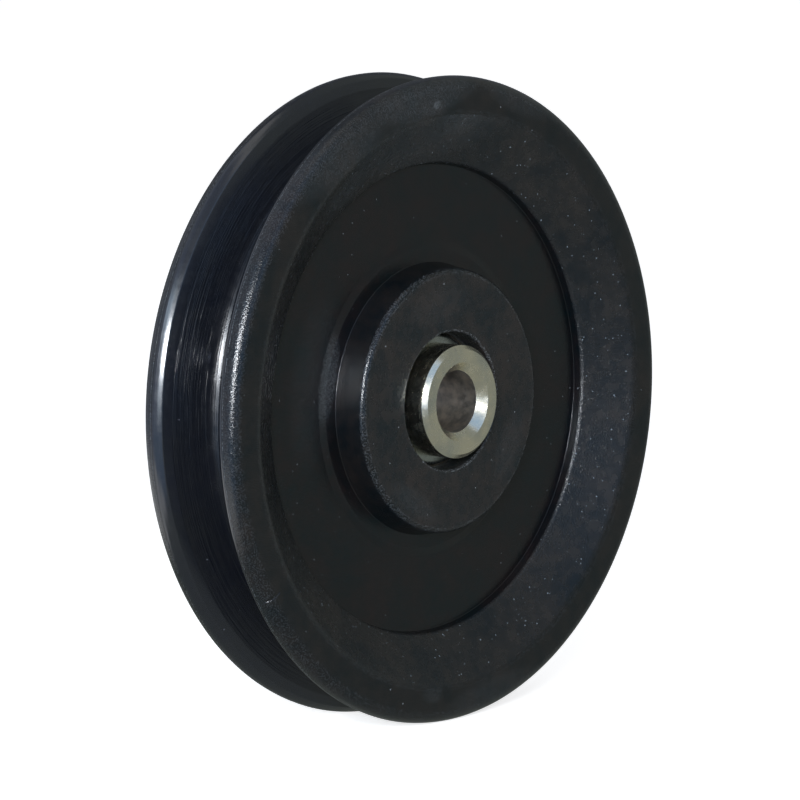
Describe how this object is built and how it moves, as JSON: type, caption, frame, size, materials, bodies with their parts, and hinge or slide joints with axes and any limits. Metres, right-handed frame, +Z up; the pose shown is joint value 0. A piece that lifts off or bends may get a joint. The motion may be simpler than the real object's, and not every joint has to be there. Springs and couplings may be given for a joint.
{
  "type": "wire rope sheave",
  "caption": "Black moulded nylon rope sheave with a round-bottomed V groove, dished web and raised hub on a shielded ball bearing with flanged steel bushes.",
  "frame": {"origin": "centre of the wheel, on its axis and on the groove's middle plane", "axes": "+Y along the axle towards the rear face, -Y towards the front face, +Z up, +X to the right seen from the front"},
  "size_m": [0.105, 0.0228, 0.105],
  "materials": {
    "wheel_nylon": "black moulded nylon, satin, glossier in the groove",
    "bush_steel": "turned steel, bright plated",
    "bearing_steel": "ground bearing steel",
    "shield_steel": "pressed sheet steel",
    "cage_steel": "pressed sheet steel",
    "rivet_steel": "headed wire",
    "ball_steel": "polished"
  },
  "bodies": {
    "axle_core": {"flanged_bush_front": "bush_steel", "flanged_bush_rear": "bush_steel", "bearing_inner_ring": "bearing_steel"},
    "sheave": {"sheave_wheel": "wheel_nylon", "bearing_outer_ring": "bearing_steel", "bearing_shield_front": "shield_steel", "bearing_shield_rear": "shield_steel"},
    "ball_cage": {"bearing_cage_front": "cage_steel", "bearing_cage_rear": "cage_steel", "cage_rivet_1": "rivet_steel", "cage_rivet_2": "rivet_steel", "cage_rivet_3": "rivet_steel", "cage_rivet_4": "rivet_steel", "cage_rivet_5": "rivet_steel", "cage_rivet_6": "rivet_steel", "cage_rivet_7": "rivet_steel", "cage_rivet_8": "rivet_steel"},
    "ball_1": {"bearing_ball_1": "ball_steel"},
    "ball_2": {"bearing_ball_2": "ball_steel"},
    "ball_3": {"bearing_ball_3": "ball_steel"},
    "ball_4": {"bearing_ball_4": "ball_steel"},
    "ball_5": {"bearing_ball_5": "ball_steel"},
    "ball_6": {"bearing_ball_6": "ball_steel"},
    "ball_7": {"bearing_ball_7": "ball_steel"},
    "ball_8": {"bearing_ball_8": "ball_steel"}
  },
  "joints": [
    {"name": "sheave_spin", "type": "hinge", "parent": "axle_core", "child": "sheave", "pos_m": [0, 0, 0], "axis": [0, 1, 0], "continuous": true},
    {"name": "cage_spin", "type": "hinge", "parent": "axle_core", "child": "ball_cage", "pos_m": [0, 0, 0], "axis": [0, 1, 0], "continuous": true},
    {"name": "ball_1_spin", "type": "hinge", "parent": "ball_cage", "child": "ball_1", "pos_m": [0.0125, 0, 0], "axis": [0, 1, 0], "continuous": true},
    {"name": "ball_2_spin", "type": "hinge", "parent": "ball_cage", "child": "ball_2", "pos_m": [0.00884, 0, 0.00884], "axis": [0, 1, 0], "continuous": true},
    {"name": "ball_3_spin", "type": "hinge", "parent": "ball_cage", "child": "ball_3", "pos_m": [0, 0, 0.0125], "axis": [0, 1, 0], "continuous": true},
    {"name": "ball_4_spin", "type": "hinge", "parent": "ball_cage", "child": "ball_4", "pos_m": [-0.00884, 0, 0.00884], "axis": [0, 1, 0], "continuous": true},
    {"name": "ball_5_spin", "type": "hinge", "parent": "ball_cage", "child": "ball_5", "pos_m": [-0.0125, 0, 0], "axis": [0, 1, 0], "continuous": true},
    {"name": "ball_6_spin", "type": "hinge", "parent": "ball_cage", "child": "ball_6", "pos_m": [-0.00884, 0, -0.00884], "axis": [0, 1, 0], "continuous": true},
    {"name": "ball_7_spin", "type": "hinge", "parent": "ball_cage", "child": "ball_7", "pos_m": [0, 0, -0.0125], "axis": [0, 1, 0], "continuous": true},
    {"name": "ball_8_spin", "type": "hinge", "parent": "ball_cage", "child": "ball_8", "pos_m": [0.00884, 0, -0.00884], "axis": [0, 1, 0], "continuous": true}
  ],
  "couplings": [
    {"joint": "cage_spin", "follows": "sheave_spin", "ratio": 0.61906},
    {"joint": "ball_1_spin", "follows": "sheave_spin", "ratio": 1.9807},
    {"joint": "ball_2_spin", "follows": "sheave_spin", "ratio": 1.9807},
    {"joint": "ball_3_spin", "follows": "sheave_spin", "ratio": 1.9807},
    {"joint": "ball_4_spin", "follows": "sheave_spin", "ratio": 1.9807},
    {"joint": "ball_5_spin", "follows": "sheave_spin", "ratio": 1.9807},
    {"joint": "ball_6_spin", "follows": "sheave_spin", "ratio": 1.9807},
    {"joint": "ball_7_spin", "follows": "sheave_spin", "ratio": 1.9807},
    {"joint": "ball_8_spin", "follows": "sheave_spin", "ratio": 1.9807}
  ]
}
